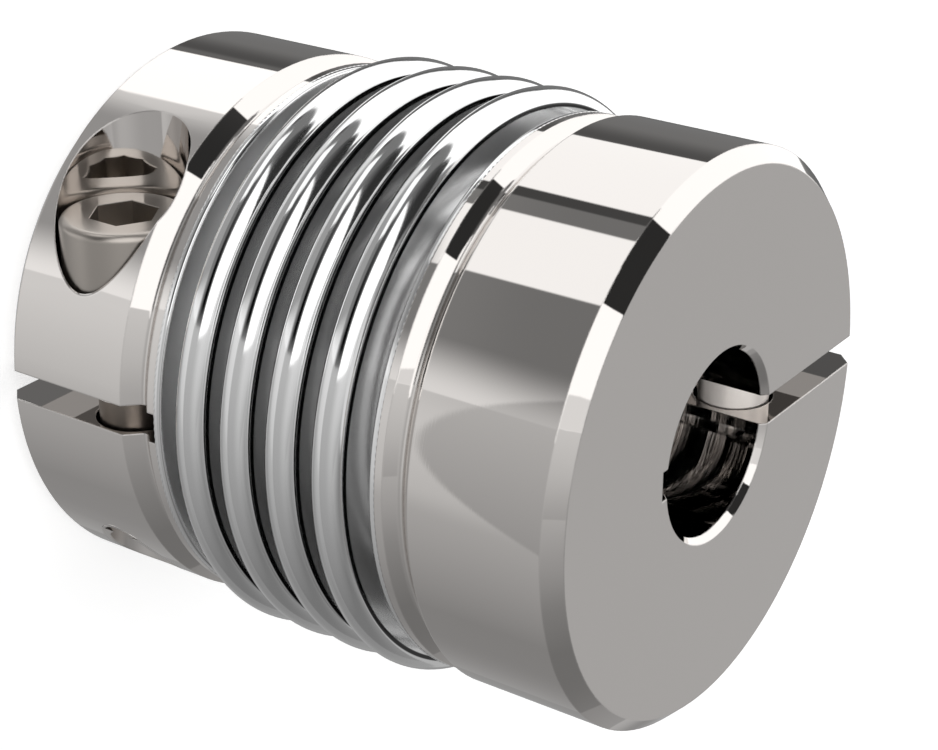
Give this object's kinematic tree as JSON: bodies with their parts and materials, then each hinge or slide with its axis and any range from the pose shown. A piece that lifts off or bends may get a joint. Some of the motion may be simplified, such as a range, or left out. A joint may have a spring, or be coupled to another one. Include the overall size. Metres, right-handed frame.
{
  "type": "bellows coupling",
  "caption": "Metal bellows coupling joining two shafts, with a split clamping hub and a hex-socket clamp screw at each end.",
  "frame": {"origin": "centre of the lower hub's end face, on which the coupling stands", "axes": "+Z along the axis of both bores, from the lower to the upper hub; +X towards the slit of the lower hub; both screw heads on the -Y side"},
  "size_m": [0.0584, 0.0584, 0.064],
  "materials": {
    "hub_metal": "fine-turned, bright",
    "bellows_steel": "bright rolled sheet",
    "screw_steel": "satin, warm grey"
  },
  "bodies": {
    "root": {"lower_hub": "hub_metal", "upper_hub": "hub_metal", "bellows": "bellows_steel", "lower_clamp_screw": "screw_steel", "upper_clamp_screw": "screw_steel"}
  },
  "joints": []
}
